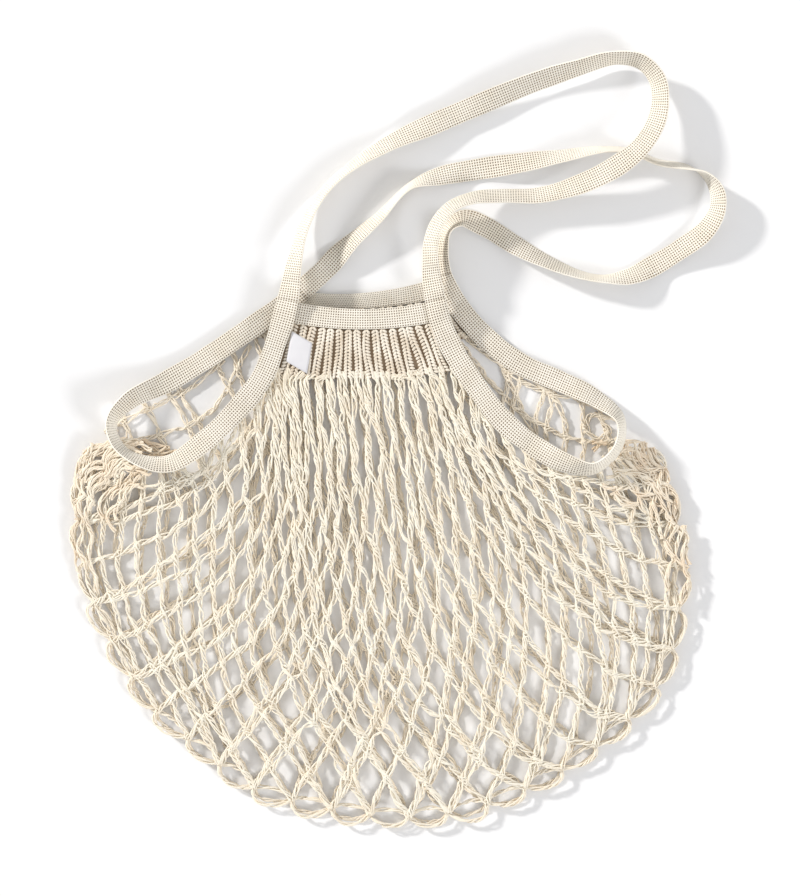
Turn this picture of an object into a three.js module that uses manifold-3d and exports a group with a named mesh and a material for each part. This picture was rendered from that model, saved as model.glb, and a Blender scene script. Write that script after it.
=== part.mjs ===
import * as THREE from 'three';
import { mergeVertices } from 'three/addons/utils/BufferGeometryUtils.js';
import Module from 'manifold-3d';

// String shopping bag lying flat on a table, seen from above with +Y towards the mouth.
// Millimetres, +Z up. Plan places below are measured from the middle of the front mouth.

// Driving dimensions
const tapeWidth = 15;
const tapeThickness = 1.8;
const knitThickness = 3;
const ribDepth = 1.3;
const neckWidth = 102;
const hemHeight = 15;
const yokeHeight = 37;
const ribCount = 18;
const netWidth = 430;
const bagLength = 362;
const bellyHeight = 8.5;
const bellySlope = 80;
const handleReach = 250;
const handleRise = 180;
const cellWidth = 50;
const cellHeight = 70;
const strandWidth = 6;
const jointLength = 12;
const rimWidth = 5;
const labelWidth = 15;
const labelLength = 20;
const labelThickness = 0.8;
const yokeSag = 6;
const fanAtMouth = 0.82;
const fanAtSeam = 1.12;
const seamGap = 0.3;
const tapeClearance = 0.5;

// Steps of the curved pieces
const outlineSteps = 72;
const stepsPerRow = 3;
const slabRows = 4;
const hemColumns = 12;
const ribSteps = 4;
const borderSteps = 10;
const pullSteps = 20;

// An opening of the net is cut only where more than this share of its border lies on the net
const wholeEnough = 0.6;

const up = new THREE.Vector3(0, 0, 1);
const frontBase = knitThickness + seamGap;
const wasm = await Module();
wasm.setup();

const tapeMaterial = new THREE.MeshStandardMaterial({ color: 0xeee6d3, roughness: 0.9, metalness: 0 });
const knitMaterial = new THREE.MeshStandardMaterial({ color: 0xe9dfc8, roughness: 0.95, metalness: 0 });
const labelMaterial = new THREE.MeshStandardMaterial({ color: 0xf3f1f4, roughness: 0.7, metalness: 0 });

// Outline of the net from the left side opening round the bottom to the right one.
// side is a share of the net's width from the middle of the mouth, drop a share of the bag's length.
const outlineRows = [
  { side: -0.428, drop: 0.243 },
  { side: -0.456, drop: 0.275 },
  { side: -0.468, drop: 0.455 },
  { side: -0.457, drop: 0.535 },
  { side: -0.424, drop: 0.625 },
  { side: -0.351, drop: 0.774 },
  { side: -0.278, drop: 0.850 },
  { side: -0.190, drop: 0.932 },
  { side: -0.039, drop: 0.983 },
  { side: 0.106, drop: 0.996 },
  { side: 0.239, drop: 0.954 },
  { side: 0.372, drop: 0.867 },
  { side: 0.486, drop: 0.739 },
  { side: 0.525, drop: 0.634 },
  { side: 0.532, drop: 0.460 },
  { side: 0.512, drop: 0.354 },
  { side: 0.470, drop: 0.250 },
];

// Soft heaps where the net is gathered by the side openings.
// reach and rise are shares of the belly's slope.
const gatherRows = [
  { side: -0.385, drop: 0.300, reach: 0.35, rise: 0.045 },
  { side: -0.300, drop: 0.400, reach: 0.40, rise: 0.030 },
  { side: 0.470, drop: 0.330, reach: 0.35, rise: 0.050 },
  { side: 0.380, drop: 0.360, reach: 0.40, rise: 0.035 },
];

// The woven tape is one closed loop through four corners of the mouth, in four stretches.
// neck is a share of half the neck's width, roll the turn about the tape's run in degrees, and
// lift the height of the lower edge above its seat in tape widths.
const leftEdgingRows = [
  { neck: -1, side: -0.015, drop: 0.044, roll: 0, seat: 'front', lift: 0 },
  { neck: -1, side: -0.042, drop: 0.128, roll: 0, seat: 'front', lift: 0 },
  { neck: -1, side: -0.088, drop: 0.197, roll: 0, seat: 'front', lift: 0 },
  { neck: -1, side: -0.138, drop: 0.253, roll: -15, seat: 'front', lift: 0 },
  { neck: -1, side: -0.192, drop: 0.293, roll: -38, seat: 'front', lift: 0 },
  { neck: -1, side: -0.240, drop: 0.286, roll: -60, seat: 'front', lift: 0 },
  { neck: -1, side: -0.276, drop: 0.255, roll: -66, seat: 'front', lift: 0 },
  { neck: -1, side: -0.285, drop: 0.214, roll: -64, seat: 'front', lift: 0 },
  { neck: -1, side: -0.257, drop: 0.172, roll: -40, seat: 'back', lift: 0.1 },
  { neck: -1, side: -0.200, drop: 0.137, roll: -10, seat: 'back', lift: 0 },
  { neck: -1, side: -0.143, drop: 0.097, roll: 0, seat: 'back', lift: 0 },
  { neck: -1, side: -0.081, drop: 0.048, roll: 0, seat: 'back', lift: 0 },
  { neck: -1, side: -0.033, drop: 0.008, roll: 0, seat: 'back', lift: 0 },
];
const rightEdgingRows = [
  { neck: 1, side: 0.036, drop: -0.015, roll: 0, seat: 'back', lift: 0 },
  { neck: 1, side: 0.083, drop: 0.050, roll: 0, seat: 'back', lift: 0 },
  { neck: 1, side: 0.140, drop: 0.101, roll: 0, seat: 'back', lift: 0 },
  { neck: 1, side: 0.205, drop: 0.135, roll: 10, seat: 'back', lift: 0 },
  { neck: 1, side: 0.262, drop: 0.168, roll: 35, seat: 'back', lift: 0.1 },
  { neck: 1, side: 0.300, drop: 0.209, roll: 62, seat: 'front', lift: 0 },
  { neck: 1, side: 0.296, drop: 0.262, roll: 66, seat: 'front', lift: 0 },
  { neck: 1, side: 0.257, drop: 0.302, roll: 60, seat: 'front', lift: 0 },
  { neck: 1, side: 0.208, drop: 0.290, roll: 30, seat: 'front', lift: 0 },
  { neck: 1, side: 0.156, drop: 0.255, roll: 0, seat: 'front', lift: 0 },
  { neck: 1, side: 0.111, drop: 0.211, roll: 0, seat: 'front', lift: 0 },
  { neck: 1, side: 0.072, drop: 0.153, roll: 0, seat: 'front', lift: 0 },
  { neck: 1, side: 0.034, drop: 0.085, roll: 0, seat: 'front', lift: 0 },
  { neck: 1, side: 0.011, drop: 0.025, roll: 0, seat: 'front', lift: 0 },
];
const backHandleRows = [
  { neck: -1, reach: 0.101, rise: 0.163, roll: 0, seat: 'table', lift: 0.15 },
  { neck: -1, reach: 0.165, rise: 0.258, roll: 35, seat: 'table', lift: 0 },
  { neck: -1, reach: 0.250, rise: 0.362, roll: 62, seat: 'table', lift: 0 },
  { neck: -1, reach: 0.338, rise: 0.485, roll: 70, seat: 'table', lift: 0 },
  { neck: -1, reach: 0.426, rise: 0.527, roll: 30, seat: 'table', lift: 0 },
  { neck: -1, reach: 0.524, rise: 0.553, roll: 0, seat: 'table', lift: 0 },
  { neck: -1, reach: 0.636, rise: 0.576, roll: 20, seat: 'table', lift: 0 },
  { neck: -1, reach: 0.762, rise: 0.603, roll: 50, seat: 'table', lift: 0 },
  { neck: -0.5, reach: 0.772, rise: 0.628, roll: 70, seat: 'table', lift: 0 },
  { neck: 0, reach: 0.750, rise: 0.622, roll: 72, seat: 'table', lift: 0 },
  { neck: 0, reach: 0.830, rise: 0.578, roll: 70, seat: 'table', lift: 0 },
  { neck: 0, reach: 0.908, rise: 0.560, roll: 74, seat: 'table', lift: 0 },
  { neck: 0, reach: 0.960, rise: 0.529, roll: 100, seat: 'table', lift: 0 },
  { neck: 0, reach: 0.992, rise: 0.465, roll: 125, seat: 'table', lift: 0.2 },
  { neck: 0, reach: 0.992, rise: 0.392, roll: 140, seat: 'table', lift: 0.3 },
  { neck: 0, reach: 0.958, rise: 0.311, roll: 150, seat: 'table', lift: 0.2 },
  { neck: 0, reach: 0.894, rise: 0.245, roll: 165, seat: 'table', lift: 0.1 },
  { neck: 0.25, reach: 0.773, rise: 0.185, roll: 170, seat: 'table', lift: 0 },
  { neck: 0.5, reach: 0.651, rise: 0.138, roll: 140, seat: 'table', lift: 0 },
  { neck: 0.75, reach: 0.530, rise: 0.126, roll: 113, seat: 'table', lift: 0 },
  { neck: 1, reach: 0.403, rise: 0.144, roll: 115, seat: 'table', lift: 0 },
  { neck: 1, reach: 0.311, rise: 0.195, roll: 130, seat: 'table', lift: 0 },
  { neck: 1, reach: 0.227, rise: 0.257, roll: 155, seat: 'table', lift: 0 },
  { neck: 1, reach: 0.143, rise: 0.330, roll: 165, seat: 'table', lift: 0 },
  { neck: 1, reach: 0.077, rise: 0.362, roll: 140, seat: 'table', lift: 0 },
  { neck: 1, reach: 0.034, rise: 0.322, roll: 122, seat: 'table', lift: 0 },
  { neck: 1, reach: 0.017, rise: 0.235, roll: 135, seat: 'table', lift: 0.1 },
];
const frontHandleRows = [
  { neck: 1, reach: -0.011, rise: 0.156, roll: 40, seat: 'table', lift: 1.05 },
  { neck: 1, reach: -0.011, rise: 0.261, roll: 50, seat: 'table', lift: 1.1 },
  { neck: 1, reach: 0.008, rise: 0.340, roll: 55, seat: 'table', lift: 1.1 },
  { neck: 1, reach: 0.047, rise: 0.402, roll: 55, seat: 'table', lift: 0.95 },
  { neck: 1, reach: 0.110, rise: 0.438, roll: 53, seat: 'table', lift: 0.6 },
  { neck: 1, reach: 0.190, rise: 0.447, roll: 50, seat: 'table', lift: 0.3 },
  { neck: 1, reach: 0.290, rise: 0.450, roll: 42, seat: 'table', lift: 0.2 },
  { neck: 1, reach: 0.395, rise: 0.486, roll: 25, seat: 'table', lift: 0.6 },
  { neck: 1, reach: 0.499, rise: 0.553, roll: 12, seat: 'table', lift: 1.05 },
  { neck: 0.5, reach: 0.679, rise: 0.640, roll: 25, seat: 'table', lift: 1.1 },
  { neck: 0, reach: 0.826, rise: 0.759, roll: 38, seat: 'table', lift: 0.8 },
  { neck: 0, reach: 0.826, rise: 0.890, roll: 45, seat: 'table', lift: 0.5 },
  { neck: 0, reach: 0.780, rise: 0.965, roll: 54, seat: 'table', lift: 0.35 },
  { neck: -0.5, reach: 0.811, rise: 0.982, roll: 58, seat: 'table', lift: 0.2 },
  { neck: -1, reach: 0.804, rise: 0.942, roll: 45, seat: 'table', lift: 0.2 },
  { neck: -1, reach: 0.678, rise: 0.885, roll: 30, seat: 'table', lift: 0.2 },
  { neck: -1, reach: 0.538, rise: 0.806, roll: 10, seat: 'table', lift: 0.3 },
  { neck: -1, reach: 0.398, rise: 0.724, roll: -10, seat: 'table', lift: 0.3 },
  { neck: -1, reach: 0.284, rise: 0.654, roll: -42, seat: 'table', lift: 0.1 },
  { neck: -1, reach: 0.179, rise: 0.566, roll: -62, seat: 'table', lift: 0 },
  { neck: -1, reach: 0.102, rise: 0.470, roll: -65, seat: 'table', lift: 0 },
  { neck: -1, reach: 0.047, rise: 0.340, roll: -60, seat: 'table', lift: 0.3 },
  { neck: -1, reach: 0.023, rise: 0.222, roll: -50, seat: 'table', lift: 0.6 },
  { neck: -1, reach: 0.009, rise: 0.115, roll: -32, seat: 'table', lift: 0.85 },
];
const corners = {
  frontLeft: { neck: -1, reach: 0, rise: 0.042, roll: -12, seat: 'front', lift: 0 },
  backLeft: { neck: -1, reach: 0.034, rise: 0.080, roll: 0, seat: 'back', lift: 0 },
  backRight: { neck: 1, reach: 0.022, rise: 0.140, roll: -28, seat: 'back', lift: 0 },
  frontRight: { neck: 1, reach: 0.002, rise: 0.042, roll: 18, seat: 'front', lift: 0 },
};

// Plan place of a row of any table
function planPlace({ neck = 0, side = 0, drop = 0, reach = 0, rise = 0 }) {
  const x = neck * neckWidth / 2 + side * netWidth + reach * handleReach;
  const y = rise * handleRise - drop * bagLength;
  return new THREE.Vector2(x, y);
}

// A line is a list of plan points. These measure along it and take stretches of it.
function lineLength(line) {
  let total = 0;
  for (let i = 1; i < line.length; i += 1) total += line[i].distanceTo(line[i - 1]);
  return total;
}

function pointAlong(line, distance) {
  let left = Math.max(distance, 0);
  for (let i = 1; i < line.length; i += 1) {
    const step = line[i].distanceTo(line[i - 1]);
    if (left <= step) return line[i - 1].clone().lerp(line[i], step > 0 ? left / step : 0);
    left -= step;
  }
  return line[line.length - 1].clone();
}

function stretch(line, start, end, count) {
  return Array.from({ length: count + 1 }, (_, i) => pointAlong(line, start + (end - start) * i / count));
}

function distanceToLine(point, line) {
  let nearest = Infinity;
  const segment = new THREE.Line3();
  const place = new THREE.Vector3(point.x, point.y, 0);
  const foot = new THREE.Vector3();
  for (let i = 1; i < line.length; i += 1) {
    segment.start.set(line[i - 1].x, line[i - 1].y, 0);
    segment.end.set(line[i].x, line[i].y, 0);
    segment.closestPointToPoint(place, true, foot);
    nearest = Math.min(nearest, foot.distanceTo(place));
  }
  return nearest;
}

const outline = new THREE.SplineCurve(outlineRows.map(planPlace)).getSpacedPoints(outlineSteps);

// Height of the underside of the bag's front layer: it leaves the back layer at the seam,
// rises over the belly's slope and heaps up where the net is gathered.
function frontUnderside(point) {
  const rise = Math.min(distanceToLine(point, outline) / bellySlope, 1);
  let height = frontBase + bellyHeight * Math.sin(rise * Math.PI / 2);
  for (const row of gatherRows) {
    const away = point.distanceTo(planPlace(row)) / (row.reach * bellySlope);
    height += row.rise * bellySlope * Math.exp(-away * away) * rise;
  }
  return height;
}

const seatHeight = {
  front: (point) => frontUnderside(point) + knitThickness + tapeClearance,
  back: () => knitThickness + tapeClearance,
  table: () => 0,
};

// The whole loop of tape, row by row, and where each stretch of it starts
const loopRows = [
  corners.frontLeft, ...leftEdgingRows,
  corners.backLeft, ...backHandleRows,
  corners.backRight, ...rightEdgingRows,
  corners.frontRight, ...frontHandleRows,
];
const loopPlaces = loopRows.map((row) => planPlace(row));
const loopCurve = new THREE.CatmullRomCurve3(
  loopPlaces.map((place) => new THREE.Vector3(place.x, place.y, 0)), true, 'centripetal');

function loopPoint(rowPlace) {
  const share = rowPlace / loopRows.length;
  const point = loopCurve.getPoint(share - Math.floor(share));
  return new THREE.Vector2(point.x, point.y);
}

function smoothBetween(values, place) {
  const at = Math.min(Math.floor(place), values.length - 2);
  const t = place - at;
  const blend = t * t * (3 - 2 * t);
  return values[at] * (1 - blend) + values[at + 1] * blend;
}

// Plan line of the tape between two rows of the loop
function tapeLine(firstRow, lastRow) {
  const count = (lastRow - firstRow) * stepsPerRow;
  return Array.from({ length: count + 1 }, (_, i) => loopPoint(firstRow + i / stepsPerRow));
}

// Closed skin over a chain of sections that all have the same number of corners.
// A section runs along its lower side and back along its upper one, so its ends close as strips.
function loft(sections) {
  const size = sections[0].length;
  const positions = sections.flat().flatMap((corner) => corner.toArray());
  const indices = [];
  for (let s = 0; s < sections.length - 1; s += 1) {
    for (let c = 0; c < size; c += 1) {
      const a = s * size + c;
      const b = s * size + (c + 1) % size;
      indices.push(a, b, b + size, a, b + size, a + size);
    }
  }
  const last = (sections.length - 1) * size;
  for (let c = 0; c < size / 2 - 1; c += 1) {
    const facing = size - 1 - c;
    indices.push(c, facing, c + 1, facing, facing - 1, c + 1);
    indices.push(last + c, last + c + 1, last + facing, last + facing, last + c + 1, last + facing - 1);
  }
  const geometry = new THREE.BufferGeometry();
  geometry.setAttribute('position', new THREE.Float32BufferAttribute(positions, 3));
  geometry.setIndex(indices);
  geometry.computeVertexNormals();
  return geometry;
}

// One stretch of the tape, as a flat band that rolls as its rows say and keeps clear of its seat
function tapeStretch(firstRow, rows) {
  const lifts = rows.map((row) => row.lift);
  const rolls = rows.map((row) => row.roll);
  const count = (rows.length - 1) * stepsPerRow;
  const endTrim = seamGap / 2;
  const line = tapeLine(firstRow, firstRow + rows.length - 1);
  const full = lineLength(line);
  const centres = [];
  let run = 0;
  for (let i = 0; i <= count; i += 1) {
    if (i > 0) run += line[i].distanceTo(line[i - 1]);
    const trimmed = Math.min(Math.max(run, endTrim), full - endTrim);
    centres.push(pointAlong(line, trimmed));
  }
  const frames = centres.map((centre, i) => {
    const place = i / stepsPerRow;
    const before = i > 0 ? line[i - 1] : loopPoint(firstRow - 1 / stepsPerRow);
    const after = i < count ? line[i + 1] : loopPoint(firstRow + place + 1 / stepsPerRow);
    const along = new THREE.Vector3(after.x - before.x, after.y - before.y, 0).normalize();
    const across = new THREE.Vector3().crossVectors(along, up);
    const roll = THREE.MathUtils.degToRad(smoothBetween(rolls, place));
    const wide = across.clone().multiplyScalar(Math.cos(roll)).addScaledVector(up, Math.sin(roll));
    const thick = new THREE.Vector3().crossVectors(along, wide);
    const planReach = across.clone().multiplyScalar(Math.abs(Math.cos(roll)) * tapeWidth / 2);
    const sides = [-1, 0, 1].map((sign) => new THREE.Vector2(
      centre.x + sign * planReach.x, centre.y + sign * planReach.y));
    const seats = rows.map((row) => Math.max(...sides.map((point) => seatHeight[row.seat](point))));
    const seat = smoothBetween(seats, place);
    const halfHeight = (Math.abs(Math.sin(roll)) * tapeWidth + Math.abs(Math.cos(roll)) * tapeThickness) / 2;
    const middle = new THREE.Vector3(centre.x, centre.y,
      seat + smoothBetween(lifts, place) * tapeWidth + halfHeight);
    return { middle, wide, thick };
  });
  const sections = frames.map(({ middle, wide, thick }) => [[-1, -1], [1, -1], [1, 1], [-1, 1]].map(
    ([w, t]) => middle.clone()
      .addScaledVector(wide, w * tapeWidth / 2)
      .addScaledVector(thick, t * tapeThickness / 2)));
  return loft(sections);
}

const leftEdgingStart = 0;
const backHandleStart = leftEdgingStart + leftEdgingRows.length + 1;
const rightEdgingStart = backHandleStart + backHandleRows.length + 1;
const frontHandleStart = rightEdgingStart + rightEdgingRows.length + 1;
const leftBend = 7;
const rightBend = 6;

// Lines down each side of the mouth, from a corner to the far end of the side opening
const frontLeftLine = tapeLine(leftEdgingStart, leftEdgingStart + leftBend);
const backLeftLine = tapeLine(leftEdgingStart + leftBend, backHandleStart).reverse();
const backRightLine = tapeLine(rightEdgingStart, rightEdgingStart + rightBend);
const frontRightLine = tapeLine(rightEdgingStart + rightBend, frontHandleStart).reverse();

// The yoke's cross lines sag towards the net between the two side lines
const sagAt = (share) => yokeSag * 4 * share * (1 - share);

// A knitted slab between the two side lines, from one distance down them to another.
// profile gives the share of the knit's thickness that is cut away at a place across it.
function yokeSlab(leftLine, rightLine, start, end, columns, underside, cutAway) {
  const sections = [];
  for (let r = 0; r <= slabRows; r += 1) {
    const distance = start + (end - start) * r / slabRows;
    const left = pointAlong(leftLine, distance);
    const right = pointAlong(rightLine, distance);
    const lower = [];
    const upper = [];
    for (let c = 0; c <= columns; c += 1) {
      const share = c / columns;
      const point = left.clone().lerp(right, share);
      point.y -= sagAt(share);
      const base = underside(point);
      lower.push(new THREE.Vector3(point.x, point.y, base));
      upper.push(new THREE.Vector3(point.x, point.y, base + knitThickness - cutAway(share)));
    }
    sections.push([...lower, ...upper.reverse()]);
  }
  return loft(sections);
}

const ribCut = (share) => ribDepth * (0.5 + 0.5 * Math.cos(share * ribCount * 2 * Math.PI));
const hemCut = () => 0;
const flatUnderside = () => 0;

function ribPanel(leftLine, rightLine, underside) {
  return yokeSlab(leftLine, rightLine, hemHeight + seamGap, hemHeight + yokeHeight,
    ribCount * ribSteps, underside, ribCut);
}

function topBand(leftLine, rightLine, underside) {
  return yokeSlab(leftLine, rightLine, 0, hemHeight, hemColumns, underside, hemCut);
}

// Plan region of a net layer: down the side lines and the yoke's lower edge, then round the outline
function netRegion(leftLine, rightLine) {
  const top = hemHeight + yokeHeight + seamGap;
  const left = stretch(leftLine, top, lineLength(leftLine), borderSteps).reverse();
  const right = stretch(rightLine, top, lineLength(rightLine), borderSteps);
  const yokeEdge = [];
  for (let i = 1; i < borderSteps; i += 1) {
    const point = left[left.length - 1].clone().lerp(right[0], i / borderSteps);
    point.y -= sagAt(i / borderSteps);
    yokeEdge.push(point);
  }
  return [...left, ...yokeEdge, ...right, ...outline.slice().reverse()];
}

function inside(point, region) {
  let crossings = 0;
  for (let i = 0; i < region.length; i += 1) {
    const a = region[i];
    const b = region[(i + 1) % region.length];
    const spans = (a.y > point.y) !== (b.y > point.y);
    if (spans && point.x < a.x + (b.x - a.x) * (point.y - a.y) / (b.y - a.y)) crossings += 1;
  }
  return crossings % 2 === 1;
}

function toManifold(geometry) {
  geometry.deleteAttribute('normal');
  geometry.deleteAttribute('uv');
  const merged = mergeVertices(geometry, 1e-4);
  return new wasm.Manifold(new wasm.Mesh({
    numProp: 3,
    vertProperties: new Float32Array(merged.attributes.position.array),
    triVerts: new Uint32Array(merged.index.array),
  }));
}

function prism(shapes, bottom, height) {
  const settings = { depth: height, bevelEnabled: false, curveSegments: 1 };
  const geometry = new THREE.ExtrudeGeometry(shapes, settings);
  geometry.translate(0, 0, bottom);
  return toManifold(geometry);
}

// Openings of the net: upright diamonds with blunt sides, in columns that fan out from the yoke.
// offset moves a layer's diamonds half a cell aside, so the two layers cross.
function meshOpenings(region, offset) {
  const fan = (y) => fanAtMouth + (fanAtMouth - fanAtSeam) * y / bagLength;
  const node = (column, row) => {
    const y = -row * cellHeight / 2;
    return new THREE.Vector2(column * cellWidth / 2 * fan(y), y);
  };
  const reach = Math.ceil(netWidth / cellWidth) + 2;
  const rows = Math.ceil(bagLength * 2 / cellHeight) + 1;
  const openings = [];
  for (let row = 1; row <= rows; row += 1) {
    for (let column = -reach; column <= reach; column += 1) {
      if ((row + column + offset) % 2 !== 0) continue;
      const centre = node(column, row);
      const nodes = [
        node(column, row - 1), node(column + 1, row),
        node(column, row + 1), node(column - 1, row),
      ];
      const half = new THREE.Vector2(nodes[1].distanceTo(nodes[3]) / 2, cellHeight / 2);
      const keep = 1 - strandWidth / 2 * half.length() / (half.x * half.y);
      const [top, right, bottom, left] = nodes.map((tip) => centre.clone().lerp(tip, keep));
      const blunt = new THREE.Vector2(0, jointLength * (1 - keep) / 2);
      const points = [top, right.clone().add(blunt), right.clone().sub(blunt), bottom,
        left.clone().sub(blunt), left.clone().add(blunt)];
      const round = points.flatMap((point, i) => {
        const next = points[(i + 1) % points.length];
        const longSide = point.distanceTo(next) > jointLength;
        return longSide ? [point, point.clone().lerp(next, 0.5)] : [point];
      });
      const within = round.filter((point) => inside(point, region)).length;
      if (within > round.length * wholeEnough) openings.push(round);
    }
  }
  return openings;
}

// An opening that reaches the border is drawn back towards its own middle until the rim is whole
function pullInside(points, region) {
  const border = [...region, region[0]];
  const clear = (point) => inside(point, region) && distanceToLine(point, border) >= rimWidth;
  const total = points.reduce((sum, point) => sum.add(point), new THREE.Vector2());
  const middle = total.divideScalar(points.length);
  return points.map((point) => {
    const place = point.clone();
    for (let i = 1; i <= pullSteps && !clear(place); i += 1) place.copy(point).lerp(middle, i / pullSteps);
    return place;
  });
}

function netLayer(leftLine, rightLine, underside, offset) {
  const region = netRegion(leftLine, rightLine);
  const openings = meshOpenings(region, offset).map((points) => pullInside(points, region));
  const slab = prism(new THREE.Shape(region), 0, 1);
  const cutters = prism(openings.map((points) => new THREE.Shape(points)), -1, 3);
  const cut = slab.subtract(cutters).getMesh();
  const positions = [];
  for (let v = 0; v < cut.vertProperties.length; v += 3) {
    const point = new THREE.Vector2(cut.vertProperties[v], cut.vertProperties[v + 1]);
    positions.push(point.x, point.y, underside(point) + cut.vertProperties[v + 2] * knitThickness);
  }
  const geometry = new THREE.BufferGeometry();
  geometry.setAttribute('position', new THREE.Float32BufferAttribute(positions, 3));
  geometry.setIndex(Array.from(cut.triVerts));
  geometry.computeVertexNormals();
  return geometry;
}

function named(name, geometry, material) {
  const mesh = new THREE.Mesh(geometry, material);
  mesh.name = name;
  return mesh;
}

// The label is sewn beside the inner edge of the left tape and lies on the ribs
function sideLabel() {
  const middle = hemHeight + yokeHeight / 2;
  const place = pointAlong(frontLeftLine, middle);
  const after = pointAlong(frontLeftLine, middle + 1);
  const along = after.clone().sub(place).normalize();
  const inward = new THREE.Vector2(-along.y, along.x);
  const centre = place.clone().addScaledVector(inward, tapeWidth / 2 + seamGap + labelWidth / 2);
  const cloth = new THREE.BoxGeometry(labelWidth, labelLength, labelThickness);
  const mesh = named('side_label', cloth, labelMaterial);
  mesh.rotation.z = Math.atan2(inward.y, inward.x);
  const base = frontUnderside(centre) + knitThickness + seamGap;
  mesh.position.set(centre.x, centre.y, base + labelThickness / 2);
  return mesh;
}

const bag = new THREE.Group();
bag.add(
  named('back_net', netLayer(backLeftLine, backRightLine, flatUnderside, 1), knitMaterial),
  named('front_net', netLayer(frontLeftLine, frontRightLine, frontUnderside, 0), knitMaterial),
  named('back_rib_panel', ribPanel(backLeftLine, backRightLine, flatUnderside), knitMaterial),
  named('front_rib_panel', ribPanel(frontLeftLine, frontRightLine, frontUnderside), knitMaterial),
  named('back_top_band', topBand(backLeftLine, backRightLine, flatUnderside), tapeMaterial),
  named('front_top_band', topBand(frontLeftLine, frontRightLine, frontUnderside), tapeMaterial),
  named('left_edging_tape', tapeStretch(leftEdgingStart,
    [corners.frontLeft, ...leftEdgingRows, corners.backLeft]), tapeMaterial),
  named('back_handle', tapeStretch(backHandleStart,
    [corners.backLeft, ...backHandleRows, { ...corners.backRight, roll: corners.backRight.roll + 180 }]),
  tapeMaterial),
  named('right_edging_tape', tapeStretch(rightEdgingStart,
    [corners.backRight, ...rightEdgingRows, corners.frontRight]), tapeMaterial),
  named('front_handle', tapeStretch(frontHandleStart,
    [corners.frontRight, ...frontHandleRows, corners.frontLeft]), tapeMaterial),
  sideLabel(),
);

// The bag rests on the table with its origin below the middle of its plan
const extent = new THREE.Box3().setFromObject(bag);
const middle = extent.getCenter(new THREE.Vector3());
bag.position.set(-middle.x, -middle.y, -extent.min.z);

export default bag;
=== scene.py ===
import math
import random

import bmesh
import bpy
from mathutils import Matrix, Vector, noise


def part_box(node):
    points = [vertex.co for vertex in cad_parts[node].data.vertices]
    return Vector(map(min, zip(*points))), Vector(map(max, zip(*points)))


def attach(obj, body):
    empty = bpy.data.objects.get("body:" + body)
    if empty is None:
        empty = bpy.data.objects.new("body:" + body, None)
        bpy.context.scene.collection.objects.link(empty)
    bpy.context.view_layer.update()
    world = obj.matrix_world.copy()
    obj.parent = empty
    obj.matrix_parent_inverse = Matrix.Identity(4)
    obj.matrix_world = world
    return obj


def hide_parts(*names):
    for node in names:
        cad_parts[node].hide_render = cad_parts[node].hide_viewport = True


# String shopping bag lying on a pale table, seen from straight above. Metres, +Z up.
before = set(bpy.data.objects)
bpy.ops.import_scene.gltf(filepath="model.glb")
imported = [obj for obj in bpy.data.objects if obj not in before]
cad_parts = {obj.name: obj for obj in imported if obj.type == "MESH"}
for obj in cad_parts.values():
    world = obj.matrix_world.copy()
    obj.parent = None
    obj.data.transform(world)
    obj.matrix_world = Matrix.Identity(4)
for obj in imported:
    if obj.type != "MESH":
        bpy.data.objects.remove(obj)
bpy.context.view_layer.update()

studio = {
    "distance": 2.4,
    "sensor": 36,
    "photoHeight": 0.627,
    "centre": (0.0005, -0.0054),
    "floorSize": 4,
    "floorDrop": 0.0003,
    "floorColour": (0.9, 0.9, 0.91),
    "floorRoughness": 0.8,
    "surround": 0.62,
}
# name, direction, strength, width in degrees and colour of each light
studioLights = [
    ("keyLight", (0.80, -0.50, -0.42), 2.6, 5, (1.0, 0.98, 0.95)),
    ("fillLight", (-0.70, 0.55, -0.55), 1.2, 16, (0.97, 0.98, 1.0)),
]


def addObject(name, data):
    thing = bpy.data.objects.new(name, data)
    bpy.context.scene.collection.objects.link(thing)
    return thing


def makeMaterial(name):
    material = bpy.data.materials.new(name)
    material.use_nodes = True
    nodes, links = material.node_tree.nodes, material.node_tree.links
    return material, nodes, links, nodes["Principled BSDF"]


def cameraAbove():
    camera = bpy.data.cameras.new("camera")
    camera.sensor_width = studio["sensor"]
    camera.lens = studio["sensor"] * studio["distance"] / studio["photoHeight"]
    holder = addObject("camera", camera)
    holder.location = (*studio["centre"], studio["distance"])
    bpy.context.scene.camera = holder


def paleFloor():
    mesh = bpy.data.meshes.new("floor")
    bm = bmesh.new()
    bmesh.ops.create_grid(bm, x_segments=1, y_segments=1, size=studio["floorSize"])
    bmesh.ops.translate(bm, verts=bm.verts[:], vec=(0, 0, -studio["floorDrop"]))
    bm.to_mesh(mesh)
    bm.free()
    material, _, _, shader = makeMaterial("paleTable")
    shader.inputs["Base Color"].default_value = (*studio["floorColour"], 1)
    shader.inputs["Roughness"].default_value = studio["floorRoughness"]
    mesh.materials.append(material)
    addObject("floor", mesh)


def softLight():
    for name, direction, strength, width, colour in studioLights:
        light = bpy.data.lights.new(name, "SUN")
        light.energy = strength
        light.angle = math.radians(width)
        light.color = colour
        holder = addObject(name, light)
        holder.rotation_mode = "QUATERNION"
        holder.rotation_quaternion = Vector(direction).to_track_quat("-Z", "Y")
    world = bpy.data.worlds.new("studio")
    world.use_nodes = True
    background = world.node_tree.nodes["Background"]
    background.inputs["Color"].default_value = (1, 1, 1, 1)
    background.inputs["Strength"].default_value = studio["surround"]
    bpy.context.scene.world = world
    bpy.context.scene.view_settings.view_transform = "Standard"


cameraAbove()
paleFloor()
softLight()
print("studio ready")

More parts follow.
